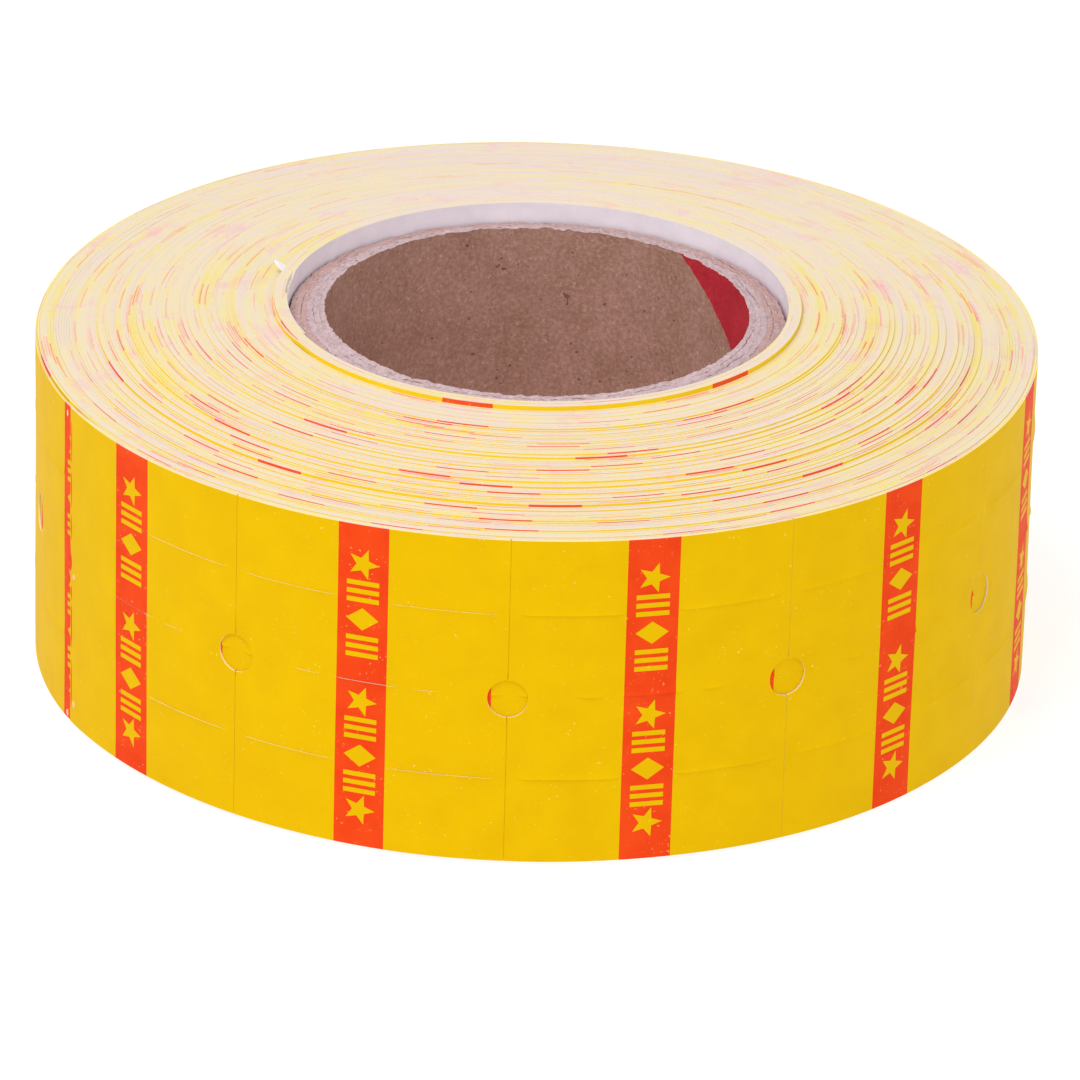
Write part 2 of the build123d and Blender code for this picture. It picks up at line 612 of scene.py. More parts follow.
def label_sections():
    """A label's cross-sections, as (part of its length, in the band)."""
    spans = ((0, BAND_START, PLAIN_SECTIONS), (BAND_START, BAND_STOP, BAND_SECTIONS),
             (BAND_STOP, 1, PLAIN_SECTIONS))
    return [(start + (stop - start) * step / count, start == BAND_START)
            for start, stop, count in spans for step in range(count)]


def web_stations():
    """The web's cross-sections from the second turn inward, as (travel, in the band)."""
    stations = [(TEAR_START + step * TEAR_SECTION, False) for step in range(TEAR_SECTIONS)]
    start = length_at(SECOND_BUTT)
    inner = length_at(360 * PACK_EDGES[-2])
    stop = length_at(WINDING_END)
    number = 0
    while start + number * LABEL_LENGTH < stop:
        for part, in_band in label_sections():
            length = start + (number + part) * LABEL_LENGTH
            if length > inner:
                length += INNER_SLIP
            if length < stop:
                stations.append((travel_at(length), in_band))
        number += 1
    return sorted(stations)


STATIONS = web_stations()


def edge_tone(travel):
    """The cut edge's tone, in soft streaks some turns wide."""
    angle = radians(FREE_END_ANGLE + travel)
    turns = travel / 360
    around = Vector((cos(angle) * STREAK_WAVES, sin(angle) * STREAK_WAVES, turns / STREAK_TURNS))
    streak = STREAK * noise.noise(around)
    for amount, reach, seed in FINE_STREAKS:
        streak += amount * wander(travel / reach, seed)
    place = TONE - TONE_AT_FRONT * sin(angle) + TONE_AT_SIDES * cos(angle) ** 2
    return place + TONE_IN_STREAKS * streak


def ribbon(name, start, stop, depth, thickness, printed):
    """One layer of the wound web between two travels, with its cut edges. Each stretch has
    its outer side, top, inner side and bottom in turn."""
    low = start + SECTION_MARGIN
    high = stop - SECTION_MARGIN
    before = [in_band for travel, in_band in STATIONS if travel <= low]
    between = [station for station in STATIONS if low < station[0] < high]
    stations = [(start, before[-1] if before else False)] + between + [(stop, False)]
    vertices = []
    tones = []
    for travel, _ in stations:
        tone = edge_tone(travel)
        for height, layer in ((0, 0), (WEB_WIDTH, 0), (WEB_WIDTH, thickness), (0, thickness)):
            vertices.append(web_vertex(travel, height, depth + layer))
            tones.append(tone)
    faces = []
    slots = []
    for number, (_, in_band) in enumerate(stations[:-1]):
        a = 4 * number
        b = a + 4
        faces += [(a, a + 1, b + 1, b), (a + 1, a + 2, b + 2, b + 1),
                  (a + 2, a + 3, b + 3, b + 2), (a + 3, a, b, b + 3)]
        if printed:
            slots += WOUND_BAND_SLOTS if in_band else WOUND_PLAIN_SLOTS
        else:
            slots += WOUND_LINER_SLOTS
    last = 4 * (len(stations) - 1)
    faces += [(0, 3, 2, 1), (last, last + 1, last + 2, last + 3)]
    slots += [WOUND_PLAIN_SLOTS[1] if printed else WOUND_LINER_SLOTS[1]] * 2
    materials = WOUND_MATERIALS if printed else LINER_MATERIALS
    return make_object(name, vertices, faces, slots, materials, tones)


def wound_packs():
    """The packs' liner and labels. The first rim is drawn in detail instead."""
    start = 360
    for number, turns in enumerate(PACK_TURNS, 1):
        for kind, length in (("rim", 1), ("pack", turns - 1)):
            stop = start + 360 * length
            if (kind, number) != ("rim", 1):
                liner = ribbon(f"wound_liner_{kind}_{number}", start, stop,
                               LINER_DEPTH, WOUND_LINER, False)
                finish_piece(liner, "winding", "release_liner", f"liner_{kind}_{number}")
                label = ribbon(f"wound_labels_{kind}_{number}", start, stop,
                               0, WOUND_LABEL, True)
                finish_piece(label, "winding", "label_paper", f"labels_{kind}_{number}")
            start = stop


# -------- a label's flat pattern

# The plain shapes down the band, from the top, and their sizes
MARK_ROW = ("star", "bars", "diamond", "bars", "", "star", "bars", "diamond", "bars", "star")
MARK_PITCH = 1.62
MARK_TOP = 16.75
MARK_HALF = 0.92
STAR_NOTCH = 0.42
DIAMOND_HALF = 0.66
BAR_HALF = 0.14
BAR_HEIGHTS = (-0.5, 0, 0.5)

SLIT_OPENING = 0.014
SLIT_STEP = 0.45

# How often a ragged cut wavers in a millimetre
RAGGED_WAVES = 1.7

BLOB_STEPS = 12
BLOB_WAVES = 3
BLOB_UNEVEN = 0.35

# How finely a pattern is divided
END_STEPS = 30
SIDE_STEPS = 26
BAND_STEPS = 24
ARC_STEPS = 18
ARC_CLEARANCE = 0.12
GRID_COLUMNS = 27
GRID_ROWS = 22
GRID_JITTER = 0.05
BESIDE_STEP = 0.4
BESIDE_SLIT = (-0.34, -0.17, -0.08, 0.08, 0.17, 0.34)
MERGE_DISTANCE = 1e-4


def star(x, y):
    points = []
    for step in range(10):
        reach = MARK_HALF if step % 2 == 0 else MARK_HALF * STAR_NOTCH
        angle = radians(36 * step)
        points.append((x + reach * cos(angle), y + reach * sin(angle)))
    return points


def diamond(x, y):
    return [(x - MARK_HALF, y), (x, y - DIAMOND_HALF), (x + MARK_HALF, y), (x, y + DIAMOND_HALF)]


def bar(x, y):
    return [(x - MARK_HALF, y - BAR_HALF), (x + MARK_HALF, y - BAR_HALF),
            (x + MARK_HALF, y + BAR_HALF), (x - MARK_HALF, y + BAR_HALF)]


def marks():
    """The plain shapes printed down the band: stars, groups of bars and diamonds."""
    x = (BAND_START + BAND_STOP) / 2 * LABEL_LENGTH
    shapes = []
    for number, kind in enumerate(MARK_ROW):
        y = MARK_TOP - number * MARK_PITCH
        if kind == "star":
            shapes.append(star(x, y))
        if kind == "bars":
            shapes += [bar(x, y + height) for height in BAR_HEIGHTS]
        if kind == "diamond":
            shapes.append(diamond(x, y))
    return shapes


def slit_lines():
    """The knife slits as (start, stop, height), in millimetres on the label."""
    return [(start * LABEL_LENGTH, stop * LABEL_LENGTH, WEB_WIDTH * (1 - depth))
            for depth, stretches in SLIT_ROWS for start, stop in stretches]


MARKS = marks()
SLITS = slit_lines()


def inside(point, polygon):
    x, y = point
    found = False
    for (ax, ay), (bx, by) in zip(polygon, polygon[1:] + polygon[:1]):
        if (ay > y) != (by > y) and x < (bx - ax) * (y - ay) / (by - ay) + ax:
            found = not found
    return found


def slit_polygon(start, stop, height):
    """The narrow opening of one slit, pointed at its ends."""
    steps = max(int((stop - start) / SLIT_STEP), 3)
    xs = [start + (stop - start) * step / steps for step in range(steps + 1)]
    upper = [(x, height + SLIT_OPENING / 2) for x in xs[1:-1]]
    lower = [(x, height - SLIT_OPENING / 2) for x in xs[1:-1]]
    return [(xs[0], height)] + lower + [(xs[-1], height)] + upper[::-1]


def blob(x, y, width, height, seed):
    """A small spot with an irregular outline."""
    points = []
    for step in range(BLOB_STEPS):
        angle = tau * step / BLOB_STEPS
        place = Vector((BLOB_WAVES * cos(angle), BLOB_WAVES * sin(angle), seed))
        reach = 1 + BLOB_UNEVEN * noise.noise(place)
        points.append((x + width / 2 * reach * cos(angle), y + height / 2 * reach * sin(angle)))
    return points


def end_line(x, ragged):
    """The cut at a label's end, from bottom to top."""
    line = []
    for step in range(END_STEPS + 1):
        y = WEB_WIDTH * step / END_STEPS
        line.append((x + ragged * noise.noise(Vector((x, y * RAGGED_WAVES, 4))), y))
    return line


def with_hole(line, centre, side):
    """Cuts a feed hole's arc into a label's end line."""
    x = line[0][0]
    reach = HOLE_RADIUS ** 2 - (x - centre) ** 2
    half = max(reach, 0) ** 0.5
    kept = [p for p in line if abs(p[1] - HOLE_HEIGHT) > half + ARC_CLEARANCE]
    below = [p for p in kept if p[1] < HOLE_HEIGHT]
    above = [p for p in kept if p[1] > HOLE_HEIGHT]
    limit = atan2(half, side * (x - centre))
    arc = []
    for step in range(ARC_STEPS + 1):
        angle = -limit + 2 * limit * step / ARC_STEPS
        arc.append((centre + side * HOLE_RADIUS * cos(angle), HOLE_HEIGHT + HOLE_RADIUS * sin(angle)))
    return below + arc + above


def plate_outline(start, stop, holes, ragged):
    """A plate's outline, anticlockwise. holes has 0 for a feed hole at its start and 1 for
    one at its end."""
    left = end_line(start, ragged)
    right = end_line(stop, 0)
    if 0 in holes:
        left = with_hole(left, 0, 1)
    if 1 in holes:
        right = with_hole(right, LABEL_LENGTH, -1)
    xs = [start + (stop - start) * step / SIDE_STEPS for step in range(1, SIDE_STEPS)]
    bottom = [(x, 0) for x in xs]
    top = [(x, WEB_WIDTH) for x in reversed(xs)]
    return bottom + right + top + left[::-1]


def grid_points(start, stop):
    """Points over a plate, and more beside its slits, so that it bends smoothly."""
    rng = random.Random(SEED)
    xs = [start + (stop - start) * (step + 0.5) / GRID_COLUMNS for step in range(GRID_COLUMNS)]
    ys = [WEB_WIDTH * (step + 0.5) / GRID_ROWS for step in range(GRID_ROWS)]
    points = [(x + rng.uniform(-GRID_JITTER, GRID_JITTER), y + rng.uniform(-GRID_JITTER, GRID_JITTER))
              for x in xs for y in ys]
    for first, last, height in SLITS:
        steps = int((last - first) / BESIDE_STEP)
        for step in range(steps + 1):
            x = first + (last - first) * step / steps
            points += [(x, height + side) for side in BESIDE_SLIT]
    return points


def points_and_edges(loops, lines):
    """The points of some closed loops and open lines, and the edges that join them."""
    points = []
    edges = []
    for line, closed in [(loop, 1) for loop in loops] + [(line, 0) for line in lines]:
        first = len(points)
        count = len(line)
        points += line
        edges += [(first + i, first + (i + 1) % count) for i in range(count - 1 + closed)]
    return points, edges


def pattern(start, stop, holes, ragged=0.0, printed=True, shift=0.0, chips=(), ink=()):
    """A label or liner plate laid flat: its points, and its faces with their materials. Only
    a label has print and slits. shift moves its band along, chips are torn spots in it and
    ink is painted shadow: strokes of the band's colour along a cut."""
    band_start = BAND_START * LABEL_LENGTH + shift
    band_stop = BAND_STOP * LABEL_LENGTH + shift
    outline = plate_outline(start, stop, holes, ragged)
    openings = []
    shapes = []
    lines = []
    if printed:
        openings = [slit_polygon(*slit) for slit in SLITS if start < slit[0] and slit[1] < stop]
        shapes = [([(x + shift, y) for x, y in shape], PLAIN_SLOT) for shape in MARKS]
        # Torn chips, and strokes of painted shadow in the band's colour
        shapes += [(chip, CHIP_SLOT) for chip in chips] + [(shadow_streak, BAND_SLOT) for shadow_streak in ink]
        lines = [[(x, WEB_WIDTH * step / BAND_STEPS) for step in range(BAND_STEPS + 1)]
                 for x in (band_start, band_stop)]
    points, edges = points_and_edges([outline] + openings + [shape for shape, _ in shapes], lines)
    points = [Vector(p) for p in points + [p for p in grid_points(start, stop) if inside(p, outline)]]
    flat, _, triangles, _, _, _ = delaunay_2d_cdt(points, edges, [], 0, MERGE_DISTANCE)
    kept = []
    for triangle in triangles:
        corners = [flat[i] for i in triangle]
        centre = (sum(c[0] for c in corners) / 3, sum(c[1] for c in corners) / 3)
        if not inside(centre, outline) or any(inside(centre, opening) for opening in openings):
            continue
        slot = BAND_SLOT if printed and band_start < centre[0] < band_stop else PLAIN_SLOT
        for shape, shape_slot in shapes:
            if inside(centre, shape):
                slot = shape_slot
        kept.append((triangle, slot))
    return flat, kept


# -------- plates bent onto the web

# How far a piece that folds is cut back at its fold, for each millimetre of depth
PEEL_BEVEL = 1.0
UNWIND_BEVEL = 0.7
BEVEL_LENGTH = 0.4

# How far the paper is raised on the lower and the upper side of a slit, how far that
# reaches and where it stops
LEFT_LIPS = (0.05, 0.0)
RIGHT_LIPS = (0.01, 0.07)
FAR_LIPS = (0.0, 0.02)
LIP_REACH = 0.16
LIP_LIMIT = 0.6
LIP_ENDS = 0.5

# How far a feed hole's rim is turned in, and how far that reaches
RIM_DEPTH = 0.03
RIM_REACH = 0.16

# The labels left of the middle
LEFT_LABELS = 2

# How far the free end stands off, how much that varies and over what height, and its reach
FREE_END_LIFT = 0.02
FREE_END_WAVE = 0.02
FREE_END_WAVE_HEIGHT = 2.3
FREE_END_REACH = 1.6

# The ragged cut of the free end, and its torn spots as (x, y, width, height, seed)
FREE_LABEL_RAGGED = 0.06
FREE_LINER_RAGGED = 0.04
FREE_END_CHIPS = ((1.45, 9.0, 0.30, 0.34, 2), (1.40, 1.2, 0.34, 0.44, 5))

# Painted shadow beside the free end: strokes of the band's colour along its cut, as (height, length)
FREE_END_PAINTED_SHADOW = ((2.2, 3.2), (5.9, 2.8), (7.9, 0.9), (11.9, 1.6), (14.1, 2.3), (17.0, 2.6))
PAINTED_SHADOW_WIDTH = 0.14

# The shift of the short label beside the free end, and its torn spots, from its band's start
SHORT_LABEL_SHIFT = -0.2
SHORT_LABEL_CHIPS = ((0.25, 18.5, 0.24, 0.40, 7), (0.32, 0.28, 0.36, 0.40, 11))

# The tone of a plate's cut edges, how much it varies and over what height
PLATE_TONE = 0.35
PLATE_TONE_WAVE = 0.3
PLATE_TONE_HEIGHT = 3


def plate(name, sheet, travel_start, degrees_each, paper, shape=None, bevel=0.0):
    """Bends a flat pattern onto the web and gives it its thickness. shape tells how far each
    place is raised."""
    flat, kept = sheet
    materials, depth, thickness, edge, band_edge, back = paper
    used = sorted({i for face, _ in kept for i in face})
    index = {old: new for new, old in enumerate(used)}
    count = len(used)
    vertices = []
    for layer in (0, thickness):
        for old in used:
            x, y = flat[old]
            raised = shape(x, y) if shape else 0
            inward = depth + layer - raised
            cut_back = bevel * inward * smooth(x, LABEL_LENGTH - BEVEL_LENGTH, LABEL_LENGTH)
            travel = travel_start + (x - cut_back) * degrees_each
            vertices.append(web_vertex(max(travel, 0), y, depth + layer, raised))
    faces = []
    slots = []
    border = {}
    for face, slot in kept:
        a, b, c = (index[i] for i in face)
        faces += [(a, c, b), (a + count, b + count, c + count)]
        slots += [slot, back]
        for first, second in ((a, b), (b, c), (c, a)):
            if (second, first) in border:
                del border[(second, first)]
            else:
                border[(first, second)] = slot
    for (first, second), slot in border.items():
        faces.append((first, second, second + count, first + count))
        slots.append(band_edge if slot == BAND_SLOT else edge)
    tones = [PLATE_TONE + PLATE_TONE_WAVE * wander(v[2] / MM / PLATE_TONE_HEIGHT, 8) for v in vertices]
    return make_object(name, vertices, faces, slots, materials, tones)


def lip(x, y, lower, upper):
    """How far the paper is raised beside a slit, on its lower and its upper side."""
    raised = 0
    for start, stop, height in SLITS:
        if start < x < stop and abs(y - height) < LIP_LIMIT:
            ends = smooth(x, start, start + LIP_ENDS) * (1 - smooth(x, stop - LIP_ENDS, stop))
            side = lower if y < height else upper
            raised += ends * side * exp(-abs(y - height) / LIP_REACH)
    return raised


def hole_rim(x, y):
    """How far the punch has turned the paper in round a feed hole."""
    nearest = min(hypot(x - centre, y - HOLE_HEIGHT) for centre in (0, LABEL_LENGTH))
    return -RIM_DEPTH * exp(-max(nearest - HOLE_RADIUS, 0) / RIM_REACH)


def left_label(x, y):
    """A label whose slits stand open at their lower side."""
    return lip(x, y, *LEFT_LIPS) + hole_rim(x, y)


def right_label(x, y):
    """A label whose slits have closed under their upper side."""
    return lip(x, y, *RIGHT_LIPS) + hole_rim(x, y)


def far_label(x, y):
    return lip(x, y, *FAR_LIPS) + hole_rim(x, y)


def free_end(x, y):
    """The free end stands a little off the turn beneath, unevenly."""
    away = exp(-(x - FREE_END_TRIM) / FREE_END_REACH)
    opened = left_label(x, y) if x > BAND_STOP * LABEL_LENGTH else hole_rim(x, y)
    wave = noise.noise(Vector((y / FREE_END_WAVE_HEIGHT, 3, 1)))
    return opened + away * (FREE_END_LIFT + FREE_END_WAVE * wave)


def label_shape(number):
    """How one of the outer turn's labels is raised."""
    if number == 0:
        return free_end
    if number < LEFT_LABELS:
        return left_label
    return right_label if number < NEAR_LABELS else far_label


def printed_labels():
    """The outer turn's labels. The first ones peel, so each is on a body of its own."""
    whole = pattern(HALF_GAP, LABEL_END, (0, 1))
    chips = [blob(*chip) for chip in FREE_END_CHIPS]
    # The free end's painted shadow: strokes of the band's colour along its cut
    ink = [blob(FREE_END_TRIM + PAINTED_SHADOW_WIDTH, y, PAINTED_SHADOW_WIDTH, length, y) for y, length in FREE_END_PAINTED_SHADOW]
    first = pattern(FREE_END_TRIM, LABEL_END, (0, 1), FREE_LABEL_RAGGED, chips=chips, ink=ink)
    for number in range(OUTER_LABELS):
        peels = number < TAIL_LABELS
        label = plate(f"printed_label_{number + 1:02}", whole if number else first, butt_line(number),
                      NEAR_EACH if number < NEAR_LABELS else FAR_EACH, LABEL_PAPER,
                      label_shape(number), PEEL_BEVEL if peels else 0)
        body = f"label_peel_{number + 1}" if peels else "winding"
        finish_piece(label, body, "label_paper", f"label_{number + 1:02}")


def tail_liners():
    """The liner of the free end, in the stretches that unwind."""
    whole = pattern(HALF_GAP, LABEL_END, (0, 1), printed=False)
    first = pattern(FREE_END_TRIM, LABEL_END, (0, 1), FREE_LINER_RAGGED, printed=False)
    for number in range(TAIL_LABELS):
        tail = plate(f"tail_liner_{number + 1}", whole if number else first, butt_line(number),
                     NEAR_EACH, LINER_PAPER, None if number else free_end, UNWIND_BEVEL)
        finish_piece(tail, f"tail_{number + 1}", "release_liner", f"liner_tail_{number + 1}")


def outer_turn_liner():
    """The outer turn's liner behind the tail, with its feed holes."""
    whole = pattern(0.0, LABEL_LENGTH, (0, 1), printed=False)
    pieces = []
    for number in range(TAIL_LABELS, OUTER_LABELS):
        each = NEAR_EACH if number < NEAR_LABELS else FAR_EACH
        pieces.append(plate(f"liner_part_{number}", whole, butt_line(number), each, LINER_PAPER))
    start = butt_line(OUTER_LABELS)
    short = pattern(0.0, (360 - start) / NEAR_EACH, (0,), printed=False)
    pieces.append(plate("liner_part_end", short, start, NEAR_EACH, LINER_PAPER))
    finish_piece(join("outer_liner", pieces), "winding", "release_liner", "liner_outer_turn")


def second_turn_spans():
    """The second turn's labels from its first whole one, each as its travel, degrees for
    each millimetre, length and feed holes. The turn's end cuts the last one short."""
    spans = []
    length = length_at(SECOND_BUTT)
    while travel_at(length) < SECOND_STOP - 1:
        start = travel_at(length)
        whole = travel_at(length + LABEL_LENGTH) - start
        part = min((SECOND_STOP - start) / whole, 1)
        spans.append((start, whole / LABEL_LENGTH, part * LABEL_LENGTH, (0, 1) if part == 1 else (0,)))
        length += LABEL_LENGTH
    return spans


def second_turn_labels():
    """The labels under the outer turn. The first shows beside the free end."""
    start = butt_line(OUTER_LABELS)
    short = (SECOND_BUTT - start) / NEAR_EACH
    band = BAND_START * LABEL_LENGTH
    chips = [blob(band + x, *rest) for x, *rest in SHORT_LABEL_CHIPS]
    sheet = pattern(HALF_GAP, short - HALF_GAP, (0,), shift=SHORT_LABEL_SHIFT, chips=chips)
    pieces = [plate("second_label_0", sheet, start, NEAR_EACH, LABEL_PAPER, right_label)]
    for number, (travel, each, length, holes) in enumerate(second_turn_spans(), 1):
        sheet = pattern(HALF_GAP, length - HALF_GAP, holes)
        pieces.append(plate(f"second_label_{number}", sheet, travel, each, LABEL_PAPER, right_label))
    finish_piece(join("second_turn_labels", pieces), "winding", "label_paper", "labels_rim_1")


def second_turn_liner():
    """The liner under the outer turn, with its feed holes."""
    lead = (SECOND_BUTT - 360) / NEAR_EACH
    sheet = pattern(LABEL_LENGTH - lead, LABEL_LENGTH, (1,), printed=False)
    start = SECOND_BUTT - NEAR_ANGLE
    pieces = [plate("second_liner_0", sheet, start, NEAR_EACH, LINER_PAPER)]
    for number, (travel, each, length, holes) in enumerate(second_turn_spans(), 1):
        sheet = pattern(0.0, length, holes, printed=False)
        pieces.append(plate(f"second_liner_{number}", sheet, travel, each, LINER_PAPER))
    finish_piece(join("second_turn_liner", pieces), "winding", "release_liner", "liner_rim_1")


# -------- the torn flake

# Where the flake stands, its size, and how it narrows, leans and twists as it rises
FLAKE_ANGLE = 166.5
FLAKE_RADIUS = 14.55
FLAKE_FOOT = 20.72
FLAKE_THICKNESS = 0.05
FLAKE_WIDTH = 1.0
FLAKE_HEIGHT = 0.68
FLAKE_TAPER = 0.75
FLAKE_LEAN = 0.65
FLAKE_TWIST = 0.10
FLAKE_WAVE = 0.05
FLAKE_RAGGED = 0.25
FLAKE_ROWS = 6
FLAKE_COLUMNS = 7


def flake_point(across, part, layer):
    """A point of the flake, by its part of the width from the middle, and of the height."""
    width = FLAKE_WIDTH * (1 - FLAKE_TAPER * part ** 1.5)
    lean = FLAKE_LEAN * part ** 1.4 + FLAKE_WAVE * noise.noise(Vector((across * 5, part * 4, 2)))
    radius = FLAKE_RADIUS + lean + layer
    angle = radians(FLAKE_ANGLE) + (across * width + FLAKE_TWIST * part) / radius
    ragged = 1 + FLAKE_RAGGED * noise.noise(Vector((across * 4, 7, 1)))
    height = FLAKE_FOOT + FLAKE_HEIGHT * part * ragged
    return Vector((radius * cos(angle), radius * sin(angle), height)) * MM


def torn_flake():
    """A flake of liner left standing at the torn corner, curled out of the paper."""
    vertices = [flake_point(column / (FLAKE_COLUMNS - 1) - 0.5, row / (FLAKE_ROWS - 1), layer)
                for layer in (0, FLAKE_THICKNESS)
                for row in range(FLAKE_ROWS) for column in range(FLAKE_COLUMNS)]
    faces = []
    sheet = FLAKE_ROWS * FLAKE_COLUMNS
    for row in range(FLAKE_ROWS - 1):
        for column in range(FLAKE_COLUMNS - 1):
            a = row * FLAKE_COLUMNS + column
            quad = (a, a + 1, a + FLAKE_COLUMNS + 1, a + FLAKE_COLUMNS)
            faces += [quad, tuple(i + sheet for i in reversed(quad))]
    loop = list(range(FLAKE_COLUMNS))
    loop += [FLAKE_COLUMNS * (row + 1) - 1 for row in range(1, FLAKE_ROWS)]
    loop += [sheet - 1 - step for step in range(1, FLAKE_COLUMNS)]
    loop += [FLAKE_COLUMNS * row for row in range(FLAKE_ROWS - 2, 0, -1)]
    for a, b in zip(loop, loop[1:] + loop[:1]):
        faces.append((b, a, a + sheet, b + sheet))
    flake = make_object("torn_liner_flake", vertices, faces, [0] * len(faces), (LINER_FACE,))
    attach(flake, "winding")


# -------- the core

CORE_RISE = 1.25
CORE_SEGMENTS = 480

# The radii of the bore, the joins between plies and the outside, and a join's width
PLY_RADII = (11.90, 12.20, 12.545, 12.89, 13.235, 13.60, 13.90)
PLY_GAP = 0.01

# How finely a ply is divided down the bore or a hidden side, and across its end
BORE_ROWS = 30
HIDDEN_ROWS = 2
END_PARTS = (0.2, 0.4, 0.6, 0.8)

# The sawn end falls away outward. Its roughness is waves, as (height, waves in a
# millimetre, shift from ply to ply), and is less on the outer plies.
CORE_SLOPE = 0.25
COARSE_WAVES = ((0.09, 1.1, 0), (0.03, 1.5, 5))
FINE_WAVES = ((0.06, 3.3, 5), (0.06, 8.0, 0))
ROUGH_PLIES = 3
SMOOTHER = 0.3

# How far plies come apart at the top, and how often, between two values of noise
SPLIT = 0.04
SPLIT_WAVES = 2.5
SPLIT_SHIFT = 7.7
SPLIT_LIMITS = (0.25, 0.5)

# How uneven the plies' walls are, and how frayed just at the sawn end
WALL_DEPTH = 0.03
WALL_WAVES = 9
FRAY_DEPTH = 0.09
FRAY_WAVES = 40
FRAY_POWER = 40

# The bore's red part ends on a line that slants down the bore from an angle at a height, by
# so many degrees in a millimetre
RED_TOP_ANGLE = 47.25
RED_HEIGHT = 20.2
RED_SLANT = 6.44
RED_SPAN = 75
RED_BLUR = 0.5


def bore_red(n):
    """Where the bore is red: 1 inside the slanting stripe, 0 outside."""
    parts = n.add("ShaderNodeSeparateXYZ", Vector=n.position()).outputs
    angle = n.maths("MULTIPLY", n.maths("ARCTAN2", parts[1], parts[0]), degrees(1))
    fallen = n.maths("SUBTRACT", RED_HEIGHT, parts[2])
    line = n.maths("SUBTRACT", RED_TOP_ANGLE, n.maths("MULTIPLY", fallen, RED_SLANT))
    ragged = n.spread(n.noise(n.position(), 3.0), 0.3, 0.7, -0.35, 0.35)
    past = n.maths("ADD", n.maths("SUBTRACT", line, angle), ragged)
    started = n.spread(past, 0.0, RED_BLUR)
    return n.maths("MULTIPLY", started, n.spread(past, RED_SPAN, RED_SPAN - RED_BLUR))


def kraft_paper():
    """Brown paper with fine fibres and a few specks, and a red printed part in the bore."""
    n = Nodes("kraft_paper")
    place = n.position()
    cloud = n.spread(n.noise(place, 0.35, 4.0, 0.6), 0.35, 0.65)
    fibres = n.noise(place, 4.2, 5.0, 0.8)
    brown = n.mix(cloud, rgb(180, 141, 126), rgb(164, 125, 108))
    brown = n.mix(n.spread(fibres, 0.5, 0.68, 0.0, 0.55), brown, rgb(212, 178, 162))
    brown = n.mix(n.spread(fibres, 0.5, 0.32, 0.0, 0.55), brown, rgb(134, 92, 74))
    dark = n.spread(n.noise(place, 2.1, 1.0), 0.725, 0.75, 0.0, 0.7)
    brown = n.mix(dark, brown, rgb(92, 62, 54))
    light = n.noise(n.position((1.3, 1.1, 1.2)), 3.1, 1.0)
    brown = n.mix(n.spread(light, 0.70, 0.74, 0.0, 0.35), brown, rgb(226, 204, 194))
    red = n.mix(cloud, rgb(200, 48, 62), rgb(182, 38, 52))
    red = n.mix(n.spread(fibres, 0.5, 0.72, 0.0, 0.3), red, rgb(222, 100, 104))
    rough = n.noise(place, 4.5, 5.0, 0.7)
    return n.finish(n.mix(bore_red(n), brown, red), 0.85, 0.15, n.bump(rough, 0.05))


def board(name, pale, dark, pit_shade):
    """The sawn end of the core's plies: pale fibres with painted highlights, and dark flecks of
    painted shade in each pit.
    """
    n = Nodes(name)
    place = n.position()
    cloud = n.noise(place, 1.4, 5.0, 0.7)
    grey = n.mix(n.spread(cloud, 0.35, 0.65), pale, dark)
    fine = n.noise(place, 5.5, 4.0, 0.7)
    # Pale flecks: painted highlights on the fibres
    grey = n.mix(n.spread(fine, 0.5, 0.70, 0.0, 0.7), grey, rgb(232, 216, 222))
    # Dark flecks: painted shade in the pit hollows
    grey = n.mix(n.spread(fine, 0.45, 0.28, 0.0, pit_shade), grey, rgb(112, 88, 92))
    rough = n.noise(place, 6.0, 6.0, 0.75)
    return n.finish(grey, 0.95, 0.1, n.bump(rough, 0.10))


KRAFT = kraft_paper()
BOARD = board("grey_board", rgb(214, 188, 190), rgb(194, 166, 168), 0.35)
SMOOTH_BOARD = board("kraft_end", rgb(204, 166, 160), rgb(190, 154, 148), 0.25)


def end_waves(waves, radius, angle, number):
    """The sum of some waves at a place on a ply's sawn end."""
    around = Vector((cos(angle) * radius, sin(angle) * radius, 0))
    return sum(height * noise.noise(around * scale + Vector((0, 0, number * shift)))
               for height, scale, shift in waves)


def ply_top(radius, angle, number):
    """The height of a ply's sawn end."""
    coarse = end_waves(COARSE_WAVES, radius, angle, number)
    fine = end_waves(FINE_WAVES, radius, angle, number)
    if number >= ROUGH_PLIES:
        fine *= SMOOTHER
    return CORE_RISE + WEB_WIDTH + coarse + fine - CORE_SLOPE * (radius - PLY_RADII[0])


def split(angle, number):
    """How far a ply has come away from the next at the top of the core."""
    around = Vector((cos(angle) * SPLIT_WAVES, sin(angle) * SPLIT_WAVES, number * SPLIT_SHIFT))
    return SPLIT * smooth(noise.noise(around), *SPLIT_LIMITS)


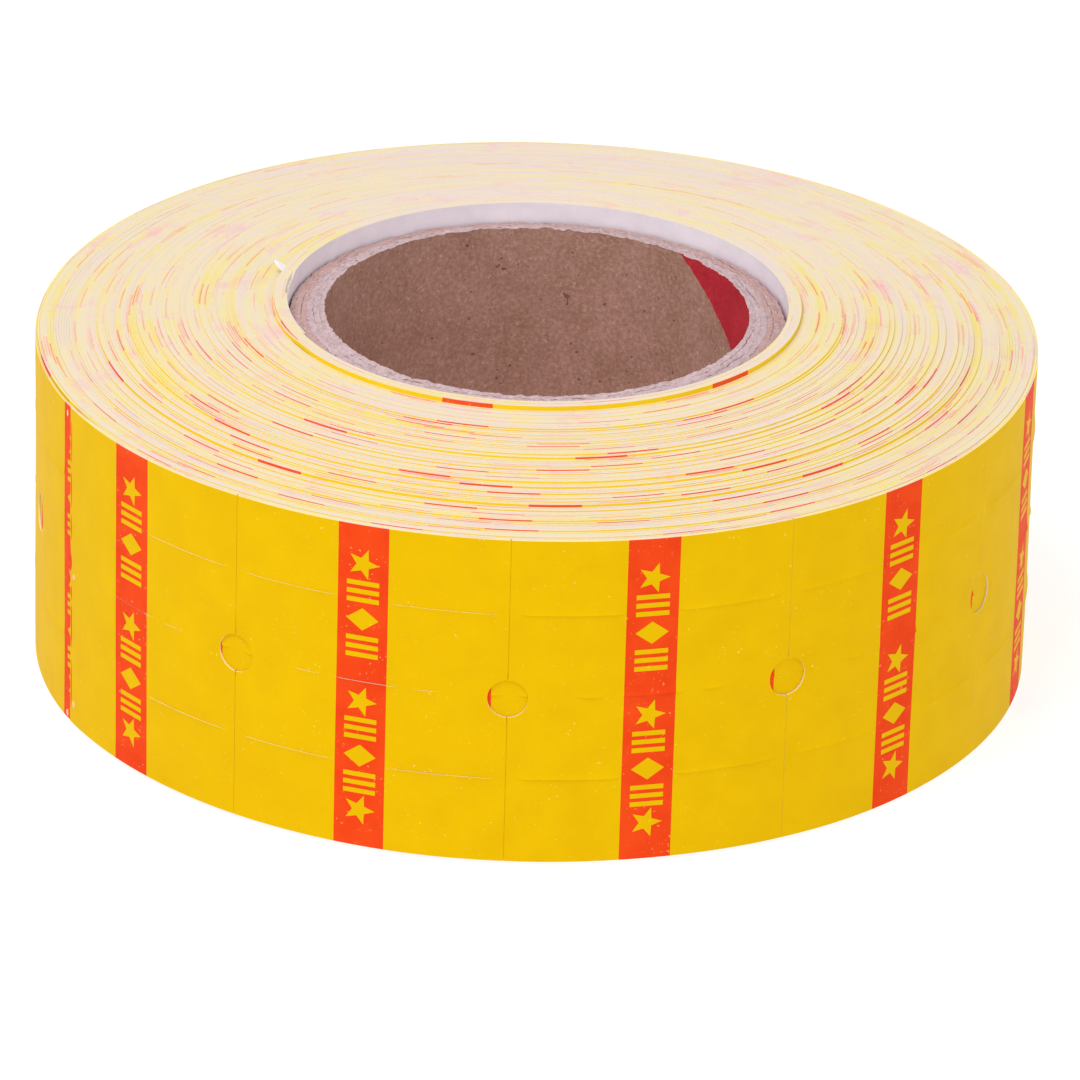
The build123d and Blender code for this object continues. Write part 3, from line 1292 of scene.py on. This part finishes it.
def core_ply(number, inner, outer, material, end_material):
    """One ply as a closed ring with a rough end. Its rings, as (radius, part of the height),
    go down the inside, up the outside and back across the end."""
    rows = HIDDEN_ROWS if number else BORE_ROWS
    outer_top = rows + 2
    rings = [(inner, 1 - row / rows) for row in range(rows + 1)]
    rings += [(outer, 0.0), (outer, 1.0)]
    rings += [(outer + (inner - outer) * part, 1.0) for part in END_PARTS]
    vertices = []
    faces = []
    slots = []
    for step in range(CORE_SEGMENTS):
        angle = tau * step / CORE_SEGMENTS
        x = cos(angle)
        y = sin(angle)
        for ring, (radius, level) in enumerate(rings):
            height = CORE_RISE + (ply_top(radius, angle, number) - CORE_RISE) * level
            place = Vector((x * WALL_WAVES, y * WALL_WAVES, height / 2 + 3 * radius))
            wave = WALL_DEPTH * noise.noise(place)
            fray = FRAY_DEPTH * noise.noise(Vector((x * FRAY_WAVES, y * FRAY_WAVES, 3 * radius)))
            out = radius + wave + fray * level ** FRAY_POWER
            if ring == outer_top:
                out -= split(angle, number)
            vertices.append(Vector((out * x, out * y, height)) * MM)
    count = len(rings)
    for step in range(CORE_SEGMENTS):
        a = step * count
        b = (step + 1) % CORE_SEGMENTS * count
        for ring in range(count):
            other = (ring + 1) % count
            faces.append((a + ring, a + other, b + other, b + ring))
            slots.append(1 if ring >= outer_top else 0)
    return make_object(f"core_ply_{number}", vertices, faces, slots, (material, end_material))


def core():
    nodes = ["core_inner_kraft"] + [f"core_board_ply_{i}" for i in range(1, 5)] + ["core_outer_kraft"]
    for number, node in enumerate(nodes):
        inner = PLY_RADII[number] + (PLY_GAP if number else 0)
        paper = "kraft" in node
        end_material = BOARD if number < ROUGH_PLIES else SMOOTH_BOARD
        ply = core_ply(number, inner, PLY_RADII[number + 1], KRAFT if paper else BOARD, end_material)
        finish_piece(ply, "core", "kraft_paper" if paper else "grey_board", node)


# -------- the floor

# The floor glows, so that it stays as pale as the world around it
FLOOR_REACH = 3.0
FLOOR_GAP = 0.00002
FLOOR_GREY = 0.38
FLOOR_GLOW = 0.72


def floor():
    lowest = min((o.matrix_world @ Vector(c)).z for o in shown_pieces() for c in o.bound_box)
    corners = [(-FLOOR_REACH, -FLOOR_REACH), (FLOOR_REACH, -FLOOR_REACH),
               (FLOOR_REACH, FLOOR_REACH), (-FLOOR_REACH, FLOOR_REACH)]
    mesh = bpy.data.meshes.new("floor")
    mesh.from_pydata([(x, y, lowest - FLOOR_GAP) for x, y in corners], [], [(0, 1, 2, 3)])
    n = Nodes("floor_white")
    n.set(n.shader, "Base Color", (FLOOR_GREY, FLOOR_GREY, FLOOR_GREY, 1))
    n.set(n.shader, "Roughness", 0.9)
    n.set(n.shader, "Specular IOR Level", 0.0)
    n.set(n.shader, "Emission Color", (1, 1, 1, 1))
    n.set(n.shader, "Emission Strength", FLOOR_GLOW)
    mesh.materials.append(n.material)
    add_object("floor", mesh)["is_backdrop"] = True


core()
wound_packs()
second_turn_labels()
second_turn_liner()
outer_turn_liner()
tail_liners()
printed_labels()
torn_flake()
floor()
